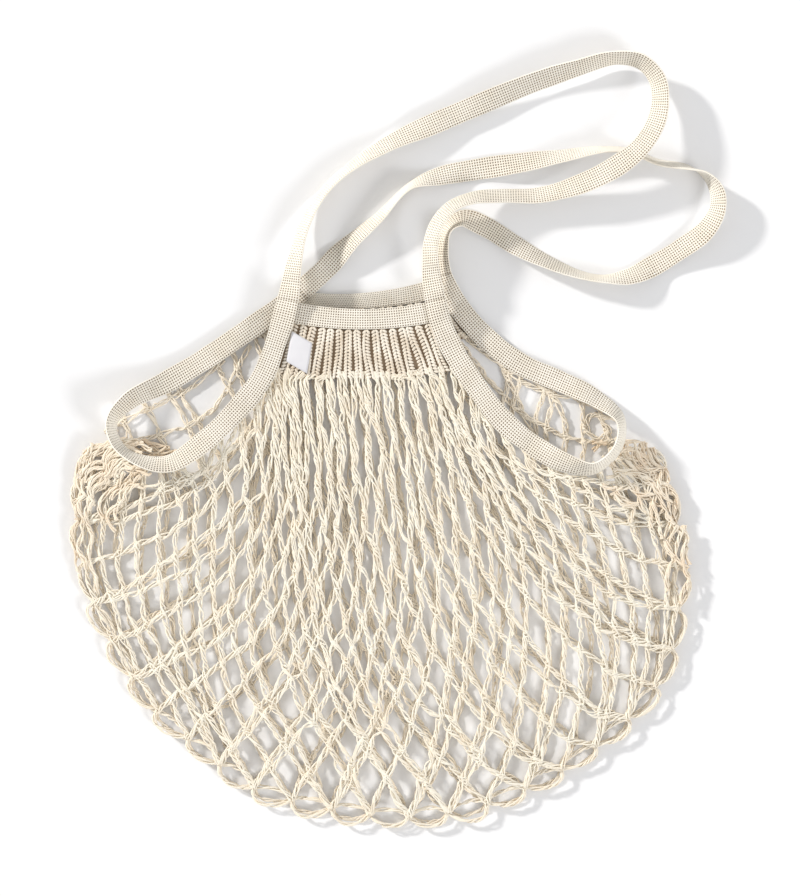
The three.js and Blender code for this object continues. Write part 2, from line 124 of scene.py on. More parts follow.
bag = {
    "tapeWidth": 0.015,
    "tapeThickness": 0.0018,
    "knit": 0.003,
    "neckWidth": 0.102,
    "hemHeight": 0.015,
    "yokeHeight": 0.037,
    "yokeSag": 0.006,
    "netWidth": 0.430,
    "length": 0.362,
    "bellyHeight": 0.0085,
    "bellySlope": 0.080,
    "handleReach": 0.250,
    "handleRise": 0.180,
    "gap": 0.0003,
    "tapeClearance": 0.0005,
    "ribs": 18,
}

# Outline of the net: side in shares of its width, drop in shares of the bag's length, from the mouth
outlineRows = [
    (-0.428, 0.243), (-0.456, 0.275), (-0.468, 0.455), (-0.457, 0.535), (-0.424, 0.625), (-0.351, 0.774),
    (-0.278, 0.850), (-0.190, 0.932), (-0.039, 0.983), (0.106, 0.996), (0.239, 0.954), (0.372, 0.867),
    (0.486, 0.739), (0.525, 0.634), (0.532, 0.460), (0.512, 0.354), (0.470, 0.250),
]

# Heaps where the net is gathered by the side openings: side, drop, then reach and rise in belly slopes
gatherRows = [
    (-0.385, 0.300, 0.35, 0.045), (-0.300, 0.400, 0.40, 0.030), (0.470, 0.330, 0.35, 0.050),
    (0.380, 0.360, 0.40, 0.035),
]

# The tape is one loop through the four corners of the mouth.
# Edging rows: side, drop, roll in degrees, seat, lift in tape widths.
leftEdgingRows = [
    (-0.015, 0.044, 0, "front", 0), (-0.042, 0.128, 0, "front", 0), (-0.088, 0.197, 0, "front", 0),
    (-0.138, 0.253, -15, "front", 0), (-0.192, 0.293, -38, "front", 0), (-0.240, 0.286, -60, "front", 0),
    (-0.276, 0.255, -66, "front", 0), (-0.285, 0.214, -64, "front", 0), (-0.257, 0.172, -40, "back", 0.1),
    (-0.200, 0.137, -10, "back", 0), (-0.143, 0.097, 0, "back", 0), (-0.081, 0.048, 0, "back", 0),
    (-0.033, 0.008, 0, "back", 0),
]
rightEdgingRows = [
    (0.036, -0.015, 0, "back", 0), (0.083, 0.050, 0, "back", 0), (0.140, 0.101, 0, "back", 0),
    (0.205, 0.135, 10, "back", 0), (0.262, 0.168, 35, "back", 0.1), (0.300, 0.209, 62, "front", 0),
    (0.296, 0.262, 66, "front", 0), (0.257, 0.302, 60, "front", 0), (0.208, 0.290, 30, "front", 0),
    (0.156, 0.255, 0, "front", 0), (0.111, 0.211, 0, "front", 0), (0.072, 0.153, 0, "front", 0),
    (0.034, 0.085, 0, "front", 0), (0.011, 0.025, 0, "front", 0),
]
# Handle rows: neck, reach, rise, roll in degrees, lift in tape widths
backHandleRows = [
    (-1, 0.101, 0.163, 0, 0.15), (-1, 0.165, 0.258, 35, 0), (-1, 0.250, 0.362, 62, 0),
    (-1, 0.338, 0.485, 70, 0), (-1, 0.426, 0.527, 30, 0), (-1, 0.524, 0.553, 0, 0),
    (-1, 0.636, 0.576, 20, 0), (-1, 0.762, 0.603, 50, 0), (-0.5, 0.772, 0.628, 70, 0),
    (0, 0.750, 0.622, 72, 0), (0, 0.830, 0.578, 70, 0), (0, 0.908, 0.560, 74, 0),
    (0, 0.960, 0.529, 100, 0), (0, 0.992, 0.465, 125, 0.2), (0, 0.992, 0.392, 140, 0.3),
    (0, 0.958, 0.311, 150, 0.2), (0, 0.894, 0.245, 165, 0.1), (0.25, 0.773, 0.185, 170, 0),
    (0.5, 0.651, 0.138, 140, 0), (0.75, 0.530, 0.126, 113, 0), (1, 0.403, 0.144, 115, 0),
    (1, 0.311, 0.195, 130, 0), (1, 0.227, 0.257, 155, 0), (1, 0.143, 0.330, 165, 0),
    (1, 0.077, 0.362, 140, 0), (1, 0.034, 0.322, 122, 0), (1, 0.017, 0.235, 135, 0.1),
]
frontHandleRows = [
    (1, -0.011, 0.156, 40, 1.05), (1, -0.011, 0.261, 50, 1.1), (1, 0.008, 0.340, 55, 1.1),
    (1, 0.047, 0.402, 55, 0.95), (1, 0.110, 0.438, 53, 0.6), (1, 0.190, 0.447, 50, 0.3),
    (1, 0.290, 0.450, 42, 0.2), (1, 0.395, 0.486, 25, 0.6), (1, 0.499, 0.553, 12, 1.05),
    (0.5, 0.679, 0.640, 25, 1.1), (0, 0.826, 0.759, 38, 0.8), (0, 0.826, 0.890, 45, 0.5),
    (0, 0.780, 0.965, 54, 0.35), (-0.5, 0.811, 0.982, 58, 0.2), (-1, 0.804, 0.942, 45, 0.2),
    (-1, 0.678, 0.885, 30, 0.2), (-1, 0.538, 0.806, 10, 0.3), (-1, 0.398, 0.724, -10, 0.3),
    (-1, 0.284, 0.654, -42, 0.1), (-1, 0.179, 0.566, -62, 0), (-1, 0.102, 0.470, -65, 0),
    (-1, 0.047, 0.340, -60, 0.3), (-1, 0.023, 0.222, -50, 0.6), (-1, 0.009, 0.115, -32, 0.85),
]
cornerRows = {
    "frontLeft": (-1, 0, 0.042, -12, "front"),
    "backLeft": (-1, 0.034, 0.080, 0, "back"),
    "backRight": (1, 0.022, 0.140, -28, "back"),
    "frontRight": (1, 0.002, 0.042, 18, "front"),
}


def planPlace(neck=0, side=0, drop=0, reach=0, rise=0):
    x = neck * bag["neckWidth"] / 2 + side * bag["netWidth"] + reach * bag["handleReach"]
    return Vector((x, rise * bag["handleRise"] - drop * bag["length"], 0))


def splinePoint(points, place, closed):
    # centripetal curve through the points, place counted in points
    count = len(points)
    i = math.floor(place)
    if not closed:
        i = max(0, min(i, count - 2))
    t = place - i
    if closed:
        p0, p1, p2, p3 = (points[(i + k) % count] for k in (-1, 0, 1, 2))
    else:
        p1, p2 = points[i], points[i + 1]
        p0 = points[i - 1] if i > 0 else p1 * 2 - p2
        p3 = points[i + 2] if i + 2 < count else p2 * 2 - p1
    d0, d1, d2 = (max((b - a).length, 1e-9) ** 0.5 for a, b in ((p0, p1), (p1, p2), (p2, p3)))
    t1 = ((p1 - p0) / d0 - (p2 - p0) / (d0 + d1) + (p2 - p1) / d1) * d1
    t2 = ((p2 - p1) / d1 - (p3 - p1) / (d1 + d2) + (p3 - p2) / d2) * d1
    c2 = p2 * 3 - p1 * 3 - t1 * 2 - t2
    c3 = p1 * 2 - p2 * 2 + t1 + t2
    return p1 + t1 * t + c2 * t * t + c3 * t ** 3


def curveThrough(points, first, last, fine, closed):
    # the curve from one of its points to another, in fine steps for each
    return [splinePoint(points, first + i / fine, closed) for i in range((last - first) * fine + 1)]


def between(values, place):
    # the values as a smooth curve, read at a place between them
    i = max(0, min(math.floor(place), len(values) - 2))
    t = place - i
    a, b = values[i], values[i + 1]
    before = values[i - 1] if i > 0 else a
    after = values[i + 2] if i + 2 < len(values) else b
    m1, m2 = (b - before) / 2, (after - a) / 2
    return ((2 * t ** 3 - 3 * t * t + 1) * a + (t ** 3 - 2 * t * t + t) * m1
            + (3 * t * t - 2 * t ** 3) * b + (t ** 3 - t * t) * m2)


def lineLength(line):
    return sum((b - a).length for a, b in zip(line, line[1:]))


def evenly(line, count):
    # the line again, as count steps of equal length
    total = lineLength(line)
    out, i, run = [], 0, 0.0
    for k in range(count + 1):
        goal = total * k / count
        while i < len(line) - 2 and run + (line[i + 1] - line[i]).length < goal:
            run += (line[i + 1] - line[i]).length
            i += 1
        step = (line[i + 1] - line[i]).length or 1e-9
        out.append(line[i].lerp(line[i + 1], min(max((goal - run) / step, 0), 1)))
    return out


def pointAlong(line, distance):
    for a, b in zip(line, line[1:]):
        step = (b - a).length
        if distance <= step and step > 0:
            return a.lerp(b, max(distance, 0) / step)
        distance -= step
    return line[-1].copy()


outlineRough = [planPlace(side=s, drop=d) for s, d in outlineRows]
outline = evenly(curveThrough(outlineRough, 0, len(outlineRough) - 1, 12, False), 240)
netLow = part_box("back_net")[0]
mouthPlace = Vector((netLow[0] - min(p.x for p in outline), netLow[1] - min(p.y for p in outline), 0))
outlineCoarse = outline[::4]


def distanceToOutline(point):
    best = 1.0
    for a, b in zip(outlineCoarse, outlineCoarse[1:]):
        run = b - a
        t = max(0.0, min(1.0, (point - a).dot(run) / run.length_squared))
        best = min(best, (point - a - run * t).length)
    return best


def frontUnderside(point):
    flat = Vector((point.x, point.y, 0))
    rise = min(distanceToOutline(flat) / bag["bellySlope"], 1)
    height = bag["knit"] + bag["gap"] + bag["bellyHeight"] * math.sin(rise * math.pi / 2)
    for side, drop, reach, up in gatherRows:
        away = (flat - planPlace(side=side, drop=drop)).length / (reach * bag["bellySlope"])
        height += up * bag["bellySlope"] * math.exp(-away * away) * rise
    return height


def seatHeight(seat, point):
    if seat == "front":
        return frontUnderside(point) + bag["knit"] + bag["tapeClearance"]
    return bag["knit"] + bag["tapeClearance"] if seat == "back" else 0


def loopRow(place, roll, seat, lift=0):
    return {"place": place, "roll": roll, "seat": seat, "lift": lift}


def cornerRow(name, turn=0):
    neck, reach, rise, roll, seat = cornerRows[name]
    return loopRow(planPlace(neck=neck, reach=reach, rise=rise), roll + turn, seat)


def edging(neck, rows):
    return [loopRow(planPlace(neck=neck, side=side, drop=drop), roll, seat, lift)
            for side, drop, roll, seat, lift in rows]


def handle(rows):
    return [loopRow(planPlace(neck=neck, reach=reach, rise=rise), roll, "table", lift)
            for neck, reach, rise, roll, lift in rows]


stretches = {
    "left_edging_tape": [cornerRow("frontLeft"), *edging(-1, leftEdgingRows), cornerRow("backLeft")],
    "back_handle": [cornerRow("backLeft"), *handle(backHandleRows), cornerRow("backRight", 180)],
    "right_edging_tape": [cornerRow("backRight"), *edging(1, rightEdgingRows), cornerRow("frontRight")],
    "front_handle": [cornerRow("frontRight"), *handle(frontHandleRows), cornerRow("frontLeft")],
}
loopPlaces = [row["place"] for rows in stretches.values() for row in rows[:-1]]
loopStarts = {}
loopCount = 0
for stretchName, rows in stretches.items():
    loopStarts[stretchName] = loopCount
    loopCount += len(rows) - 1
print("routes ready")

weave = {
    "pitch": 0.00178,
    "pitInset": 0.00042,
    "pitDepth": 0.00045,
    "overlap": 0.0002,
    "waver": 0.10,
    "waverPitch": 45,
    "lookAhead": 0.06,
}
# Cross-section of the woven tape: across in shares of its width, height in shares of half its thickness,
# and whether the cell after the row is an open pit of the weave
tapeSection = [
    (-0.500, 0.0, False), (-0.492, 0.70, True), (-0.369, 0.86, True), (-0.246, 0.92, True),
    (-0.123, 0.94, True), (0.0, 0.94, True), (0.123, 0.94, True), (0.246, 0.92, True),
    (0.369, 0.86, True), (0.492, 0.70, False), (0.500, 0.0, False),
]


def tapeSeat(rows, place, middle, reach):
    # height of what lies under the tape, eased where it passes from one seat to the next
    row = max(0, min(math.floor(place), len(rows) - 2))

    def seatAt(seat):
        return max(seatHeight(seat, middle + reach * side) for side in (-1, 0, 1))

    here, after = rows[row]["seat"], rows[row + 1]["seat"]
    if here == after:
        return seatAt(here)
    t = place - row
    blend = t * t * (3 - 2 * t)
    return seatAt(here) * (1 - blend) + seatAt(after) * blend


def tapeFrames(name):
    # middle, width direction, face direction and length so far at every ridge of the weave
    rows, first = stretches[name], loopStarts[name]
    fine = 24
    line = curveThrough(loopPlaces, first, first + len(rows) - 1, fine, True)
    runs = [0.0]
    for a, b in zip(line, line[1:]):
        runs.append(runs[-1] + (b - a).length)
    whole = runs[-1] + 2 * weave["overlap"]
    count = round(whole / weave["pitch"])
    frames, i = [], 0
    for k in range(count + 1):
        goal = whole * k / count - weave["overlap"]
        while i < len(runs) - 2 and runs[i + 1] < goal:
            i += 1
        share = (goal - runs[i]) / max(runs[i + 1] - runs[i], 1e-9)
        place = i / fine + share / fine
        centre = splinePoint(loopPlaces, first + place, True)
        ahead = splinePoint(loopPlaces, first + place + weave["lookAhead"], True)
        behind = splinePoint(loopPlaces, first + place - weave["lookAhead"], True)
        along = (ahead - behind).normalized()
        across = along.cross(Vector((0, 0, 1)))
        roll = math.radians(between([row["roll"] for row in rows], place))
        wide = across * math.cos(roll) + Vector((0, 0, math.sin(roll)))
        face = along.cross(wide)
        reach = across * abs(math.cos(roll)) * bag["tapeWidth"] / 2
        seat = tapeSeat(rows, place, centre, reach)
        lift = max(between([row["lift"] for row in rows], place), 0) * bag["tapeWidth"]
        half = (abs(math.sin(roll)) * bag["tapeWidth"] + abs(math.cos(roll)) * bag["tapeThickness"]) / 2
        slack = 1 + weave["waver"] * noise.noise(Vector((goal * weave["waverPitch"], first, 0)))
        middle = centre + mouthPlace + Vector((0, 0, seat + lift + half))
        frames.append((middle, wide * slack, face, goal))
    return frames


cotton = {
    "sheen": 0.25,
    "sheenRoughness": 0.6,
    "specular": 0.2,
    "patchScale": 60,
    "patchDetail": 4,
    "darkAt": 0.30,
    "lightAt": 0.62,
    "fibreDetail": 6,
    "fibreRoughness": 0.7,
    "reliefDistance": 0.0004,
    # heights over which the painted shade on low parts fades out
    "lowShadeFrom": 0.0005,
    "lowShadeTo": 0.0095,
}


def cottonMaterial(name, light, dark, roughness, fibre, bump, lowShade=None):
    # blotched cotton with a fibre relief; the last colour, if given, is painted shade that darkens what
    # lies low in the bag
    material, nodes, links, shader = makeMaterial(name)
    shader.inputs["Roughness"].default_value = roughness
    shader.inputs["Sheen Weight"].default_value = cotton["sheen"]
    shader.inputs["Sheen Roughness"].default_value = cotton["sheenRoughness"]
    shader.inputs["Specular IOR Level"].default_value = cotton["specular"]
    place = nodes.new("ShaderNodeTexCoord")
    patches = nodes.new("ShaderNodeTexNoise")
    patches.inputs["Scale"].default_value = cotton["patchScale"]
    patches.inputs["Detail"].default_value = cotton["patchDetail"]
    ramp = nodes.new("ShaderNodeValToRGB")
    stops = ramp.color_ramp.elements
    stops[0].position, stops[0].color = cotton["darkAt"], (*dark, 1)
    stops[1].position, stops[1].color = cotton["lightAt"], (*light, 1)
    fibres = nodes.new("ShaderNodeTexNoise")
    fibres.inputs["Scale"].default_value = fibre
    fibres.inputs["Detail"].default_value = cotton["fibreDetail"]
    fibres.inputs["Roughness"].default_value = cotton["fibreRoughness"]
    relief = nodes.new("ShaderNodeBump")
    relief.inputs["Strength"].default_value = bump
    relief.inputs["Distance"].default_value = cotton["reliefDistance"]
    links.new(place.outputs["Object"], patches.inputs["Vector"])
    links.new(place.outputs["Object"], fibres.inputs["Vector"])
    links.new(patches.outputs["Fac"], ramp.inputs["Fac"])
    colour = ramp.outputs["Color"]
    # painted shade: low parts blend towards the darker, warmer colour, as if shaded by the layers over them
    if lowShade:
        split = nodes.new("ShaderNodeSeparateXYZ")
        height = nodes.new("ShaderNodeMapRange")
        height.inputs["From Min"].default_value = cotton["lowShadeFrom"]
        height.inputs["From Max"].default_value = cotton["lowShadeTo"]
        blend = nodes.new("ShaderNodeMix")
        blend.data_type = "RGBA"
        blend.inputs[6].default_value = (*lowShade, 1)
        links.new(place.outputs["Object"], split.inputs["Vector"])
        links.new(split.outputs["Z"], height.inputs["Value"])
        links.new(height.outputs["Result"], blend.inputs[0])
        links.new(colour, blend.inputs[7])
        colour = blend.outputs[2]
    links.new(colour, shader.inputs["Base Color"])
    links.new(fibres.outputs["Fac"], relief.inputs["Height"])
    links.new(relief.outputs["Normal"], shader.inputs["Normal"])
    return material


tapeCotton = cottonMaterial("tapeCotton", (1.0, 0.95, 0.85), (0.95, 0.88, 0.75), 0.85, 1500, 0.5)
# painted shade: the pits of the weave are coloured dark brown for the shadow that falls inside them
tapePitShade = cottonMaterial("tapePitShade", (0.27, 0.20, 0.13), (0.17, 0.12, 0.08), 0.95, 1500, 0.4)
# the last colour of netCotton is painted shade for strands lying low in the bag
netCotton = cottonMaterial("netCotton", (1.0, 0.94, 0.81), (0.96, 0.86, 0.70), 0.9, 1800, 0.6,
                           (0.94, 0.84, 0.69))
# painted shade: the slack folds use a darker, warmer copy of the net cotton for the shade and warm bounce
# inside the heaps
slackShadedCotton = cottonMaterial("slackShadedCotton", (0.99, 0.90, 0.75), (0.92, 0.77, 0.59), 0.9, 1800, 0.6,
                             (0.84, 0.66, 0.46))
ribCotton = cottonMaterial("ribCotton", (0.94, 0.87, 0.76), (0.74, 0.63, 0.49), 0.9, 1800, 0.6)
# painted shade: the rib panel's sheet is dark brown for the shade in the valleys between the ribs
ribValleyShade = cottonMaterial("ribValleyShade", (0.34, 0.25, 0.17), (0.22, 0.16, 0.10), 0.95, 1500, 0.4)


def placePiece(name, mesh, slot, *nodes):
    piece = addObject(name, mesh)
    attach(piece, "root")
    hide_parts(*nodes)
    return piece


def finishPiece(name, bm, materials, slot, *nodes):
    bmesh.ops.recalc_face_normals(bm, faces=bm.faces[:])
    mesh = bpy.data.meshes.new(name)
    bm.to_mesh(mesh)
    bm.free()
    for material in materials:
        mesh.materials.append(material)
    return placePiece(name, mesh, slot, *nodes)


def weaveBand(frames, width, section):
    # a closed band: a grid wrapped round the section, its pits pressed in one by one
    ring = section[:-1] + [(-across, -height, pit) for across, height, pit in section[:-1]]
    around, rows = len(ring), len(frames) - 1
    bm = bmesh.new()
    bmesh.ops.create_grid(bm, x_segments=around, y_segments=rows, size=0.5)
    for vert in bm.verts:
        column = round((vert.co.x + 0.5) * around)
        row = round((vert.co.y + 0.5) * rows)
        vert.index = row * (around + 1) + column
        across, height, _ = ring[column % around]
        centre, wide, face, _ = frames[row]
        vert.co = centre + wide * (across * width) + face * (height * bag["tapeThickness"] / 2)
    # the UV map runs round the section, and along the tape in metres
    uv = bm.loops.layers.uv.new("weave")
    pitFaces = []
    for item in bm.faces:
        for loop in item.loops:
            row, column = divmod(loop.vert.index, around + 1)
            loop[uv].uv = (column / around, frames[row][3])
        first = min(vert.index % (around + 1) for vert in item.verts)
        if ring[first][2]:
            pitFaces.append(item)
    bmesh.ops.remove_doubles(bm, verts=bm.verts[:], dist=1e-6)
    caps = bmesh.ops.holes_fill(bm, edges=[e for e in bm.edges if e.is_boundary], sides=0)["faces"]
    bmesh.ops.recalc_face_normals(bm, faces=bm.faces[:])
    pitFaces = [f for f in pitFaces if f.is_valid]
    bmesh.ops.inset_individual(bm, faces=pitFaces, thickness=weave["pitInset"], depth=-weave["pitDepth"],
                               use_even_offset=True)
    for item in bm.faces:
        item.smooth = item not in caps
    # painted shade: the pit faces take the dark pit colour, for the shadow inside them
    for item in pitFaces:
        item.material_index = 1
    return bm


for tapeName in stretches:
    tapeRun = tapeFrames(tapeName)
    tapeBody = weaveBand(tapeRun, bag["tapeWidth"], tapeSection)
    tape = finishPiece("woven_" + tapeName, tapeBody, [tapeCotton, tapePitShade], "woven_tape", tapeName)
print("tapes woven")

# Rows of the loop where each side opening turns from the front layer to the back one
bends = {"left": 7, "right": 6}


def loopLine(first, last):
    return curveThrough(loopPlaces, first, last, 12, True)


leftStart, rightStart = loopStarts["left_edging_tape"], loopStarts["right_edging_tape"]
sideLines = {
    "front": (loopLine(leftStart, leftStart + bends["left"]),
              loopLine(rightStart + bends["right"], loopStarts["front_handle"])[::-1]),
    "back": (loopLine(leftStart + bends["left"], loopStarts["back_handle"])[::-1],
             loopLine(rightStart, rightStart + bends["right"])),
}


def underside(layer, point):
    return frontUnderside(point) if layer == "front" else 0


def yokePoint(layer, share, distance, height):
    left, right = (pointAlong(line, distance) for line in sideLines[layer])
    point = left.lerp(right, share)
    point.y -= bag["yokeSag"] * 4 * share * (1 - share)
    return point + mouthPlace + Vector((0, 0, underside(layer, point) + height))


hem = {"cells": 8, "pitch": 0.0017, "edge": 0.49, "crown": 0.85, "thicker": 1.5}


def topBand(layer):
    # the folded hem: the same weave, run across the mouth
    leftEnd, rightEnd = (pointAlong(line, bag["hemHeight"] / 2) for line in sideLines[layer])
    count = round((rightEnd - leftEnd).length / hem["pitch"])
    section = [(-0.5, 0.0, False)]
    for i in range(hem["cells"]):
        section.append((-hem["edge"] + 2 * hem["edge"] * i / hem["cells"], hem["crown"], True))
    section += [(hem["edge"], hem["crown"], False), (0.5, 0.0, False)]
    frames = []
    for i in range(count + 1):
        share = i / count
        upper = yokePoint(layer, share, 0, bag["knit"] / 2)
        lower = yokePoint(layer, share, bag["hemHeight"] - bag["gap"], bag["knit"] / 2)
        wide = (lower - upper) / bag["hemHeight"]
        frames.append(((upper + lower) / 2, wide, Vector((0, 0, hem["thicker"])), i * hem["pitch"]))
    body = weaveBand(frames, bag["hemHeight"], section)
    band = finishPiece("woven_" + layer + "_top_band", body, [tapeCotton, tapePitShade], "woven_tape",
                       layer + "_top_band")


topBand("front")
topBand("back")
print("hems woven")

rib = {
    "stitches": 15,
    "stitchLength": 0.0040,
    "stitchWidth": 0.0021,
    "stitchHeight": 0.0024,
    "longer": (0.92, 1.08),
    "lean": 44,
    "aside": 0.20,
    "lift": 0.0017,
    "ahead": 0.002,
    "sway": 0.0010,
    "swayTurns": 5,
    "sheet": 0.0006,
    "sheetLift": 0.0002,
    "sheetRows": 8,
    "seed": 4,
}


def ballMesh():
    mesh = bpy.data.meshes.new("stitch")
    bm = bmesh.new()
    bmesh.ops.create_uvsphere(bm, u_segments=8, v_segments=5, radius=0.5)
    bm.to_mesh(mesh)
    bm.free()
    return mesh


def layStitch(bm, ball, here, turn, length):
    # one ball stretched to a stitch, turned and set down
    before = len(bm.verts)
    bm.from_mesh(ball)
    bm.verts.ensure_lookup_table()
    cosTurn, sinTurn = math.cos(turn), math.sin(turn)
    for vert in bm.verts[before:]:
        x, y, z = vert.co.x * length, vert.co.y * rib["stitchWidth"], vert.co.z * rib["stitchHeight"]
        vert.co = here + Vector((x * cosTurn - y * sinTurn, x * sinTurn + y * cosTurn, z))


def ribPanel(layer):
    # a thin sheet, painted dark as the shade in the valleys, with columns of paired leaning stitches
    # standing on it
    bm = bmesh.new()
    bmesh.ops.create_grid(bm, x_segments=bag["ribs"] * 2, y_segments=rib["sheetRows"], size=0.5)
    top, bottom = bag["hemHeight"] + bag["gap"], bag["hemHeight"] + bag["yokeHeight"]
    for vert in bm.verts:
        share, down = vert.co.x + 0.5, 0.5 - vert.co.y
        vert.co = yokePoint(layer, share, top + (bottom - top) * down, rib["sheetLift"])
    bmesh.ops.recalc_face_normals(bm, faces=bm.faces[:])
    skin = bmesh.ops.extrude_face_region(bm, geom=bm.faces[:])["geom"]
    upper = [v for v in skin if isinstance(v, bmesh.types.BMVert)]
    bmesh.ops.translate(bm, verts=upper, vec=(0, 0, rib["sheet"]))
    # painted shade: the sheet takes the dark valley colour, for the shade between the ribs
    for item in bm.faces:
        item.material_index = 1
    ball = ballMesh()
    chance = random.Random(rib["seed"])
    for column in range(bag["ribs"]):
        sway = chance.uniform(-rib["sway"], rib["sway"])
        for step in range(rib["stitches"]):
            down = (step + 0.5) / rib["stitches"]
            distance = top + (bottom - top) * down
            for side in (-1, 1):
                share = (column + 0.5 + side * rib["aside"]) / bag["ribs"]
                here = yokePoint(layer, share, distance, rib["lift"])
                ahead = yokePoint(layer, share, distance + rib["ahead"], rib["lift"])
                here.x += sway * math.sin(down * rib["swayTurns"] + column)
                run = (ahead - here).normalized()
                turn = math.atan2(run.y, run.x) + math.radians(rib["lean"]) * side
                layStitch(bm, ball, here, turn, rib["stitchLength"] * chance.uniform(*rib["longer"]))
    for item in bm.faces:
        item.smooth = True
    bpy.data.meshes.remove(ball)
    finishPiece("knitted_" + layer + "_rib_panel", bm, [ribCotton, ribValleyShade], "cotton_knit",
                layer + "_rib_panel")


ribPanel("front")
ribPanel("back")
print("rib panels knitted")

# The net is two families of knitted strands that cross: plan routes of each, side and drop
strandsDownRight = [
    [(-0.396, 0.277), (-0.433, 0.344), (-0.451, 0.441), (-0.438, 0.538), (-0.405, 0.644), (-0.370, 0.750)],
    [(-0.376, 0.290), (-0.405, 0.364), (-0.417, 0.460), (-0.400, 0.557), (-0.363, 0.673), (-0.319, 0.818)],
    [(-0.355, 0.302), (-0.368, 0.364), (-0.379, 0.460), (-0.368, 0.557), (-0.335, 0.673), (-0.278, 0.799),
     (-0.254, 0.895)],
    [(-0.330, 0.306), (-0.327, 0.373), (-0.339, 0.460), (-0.330, 0.557), (-0.311, 0.654), (-0.270, 0.779),
     (-0.217, 0.934)],
    [(-0.308, 0.302), (-0.290, 0.373), (-0.295, 0.460), (-0.291, 0.557), (-0.282, 0.654), (-0.254, 0.770),
     (-0.205, 0.876), (-0.171, 0.967)],
    [(-0.278, 0.290), (-0.254, 0.373), (-0.256, 0.460), (-0.252, 0.557), (-0.246, 0.654), (-0.226, 0.750),
     (-0.173, 0.876), (-0.122, 0.978)],
    [(-0.238, 0.267), (-0.218, 0.364), (-0.218, 0.460), (-0.220, 0.557), (-0.213, 0.654), (-0.189, 0.750),
     (-0.124, 0.886), (-0.075, 0.998)],
    [(-0.197, 0.228), (-0.184, 0.364), (-0.181, 0.460), (-0.186, 0.557), (-0.177, 0.654), (-0.148, 0.750),
     (-0.083, 0.876), (-0.026, 1.006)],
    [(-0.161, 0.176), (-0.156, 0.267), (-0.148, 0.402), (-0.145, 0.518), (-0.137, 0.615), (-0.104, 0.731),
     (-0.042, 0.866), (0.018, 1.017)],
    [(-0.140, 0.147), (-0.127, 0.248), (-0.119, 0.383), (-0.114, 0.499), (-0.099, 0.615), (-0.063, 0.731),
     (-0.002, 0.857), (0.067, 1.021)],
    [(-0.125, 0.131), (-0.114, 0.248), (-0.104, 0.383), (-0.094, 0.499), (-0.075, 0.615), (-0.037, 0.731),
     (0.028, 0.857), (0.112, 1.021)],
    [(-0.106, 0.128), (-0.099, 0.228), (-0.090, 0.364), (-0.073, 0.499), (-0.050, 0.615), (-0.010, 0.731),
     (0.055, 0.857), (0.164, 1.013)],
    [(-0.080, 0.128), (-0.073, 0.238), (-0.060, 0.373), (-0.037, 0.509), (-0.010, 0.625), (0.036, 0.746),
     (0.104, 0.866), (0.213, 1.002)],
    [(-0.054, 0.128), (-0.046, 0.248), (-0.029, 0.383), (-0.002, 0.518), (0.031, 0.634), (0.083, 0.760),
     (0.153, 0.876), (0.259, 0.986)],
    [(-0.028, 0.128), (-0.018, 0.248), (0.003, 0.383), (0.036, 0.522), (0.075, 0.644), (0.133, 0.770),
     (0.205, 0.882), (0.308, 0.959)],
    [(-0.002, 0.128), (0.011, 0.248), (0.036, 0.383), (0.075, 0.528), (0.120, 0.654), (0.186, 0.779),
     (0.259, 0.886), (0.357, 0.924)],
    [(0.024, 0.128), (0.041, 0.248), (0.072, 0.383), (0.116, 0.524), (0.171, 0.650), (0.239, 0.762),
     (0.313, 0.853), (0.397, 0.882)],
    [(0.050, 0.128), (0.072, 0.248), (0.107, 0.383), (0.158, 0.518), (0.221, 0.644), (0.291, 0.741),
     (0.365, 0.818), (0.454, 0.847)],
    [(0.077, 0.128), (0.104, 0.248), (0.148, 0.383), (0.207, 0.514), (0.275, 0.621), (0.343, 0.702),
     (0.413, 0.760), (0.487, 0.773)],
    [(0.103, 0.128), (0.137, 0.248), (0.190, 0.383), (0.256, 0.509), (0.324, 0.596), (0.389, 0.654),
     (0.454, 0.696), (0.536, 0.727)],
    [(0.129, 0.160), (0.171, 0.286), (0.234, 0.422), (0.303, 0.509), (0.373, 0.580), (0.438, 0.625),
     (0.495, 0.654), (0.552, 0.663)],
    [(0.164, 0.219), (0.210, 0.325), (0.275, 0.422), (0.348, 0.509), (0.422, 0.567), (0.487, 0.592),
     (0.552, 0.605)],
    [(0.197, 0.253), (0.243, 0.335), (0.308, 0.412), (0.381, 0.480), (0.454, 0.518), (0.552, 0.538)],
    [(0.234, 0.277), (0.283, 0.335), (0.348, 0.393), (0.422, 0.431), (0.487, 0.451), (0.560, 0.460)],
    [(0.275, 0.296), (0.332, 0.344), (0.397, 0.377), (0.470, 0.393), (0.560, 0.402)],
    [(0.324, 0.315), (0.389, 0.335), (0.454, 0.340), (0.544, 0.344)],
]

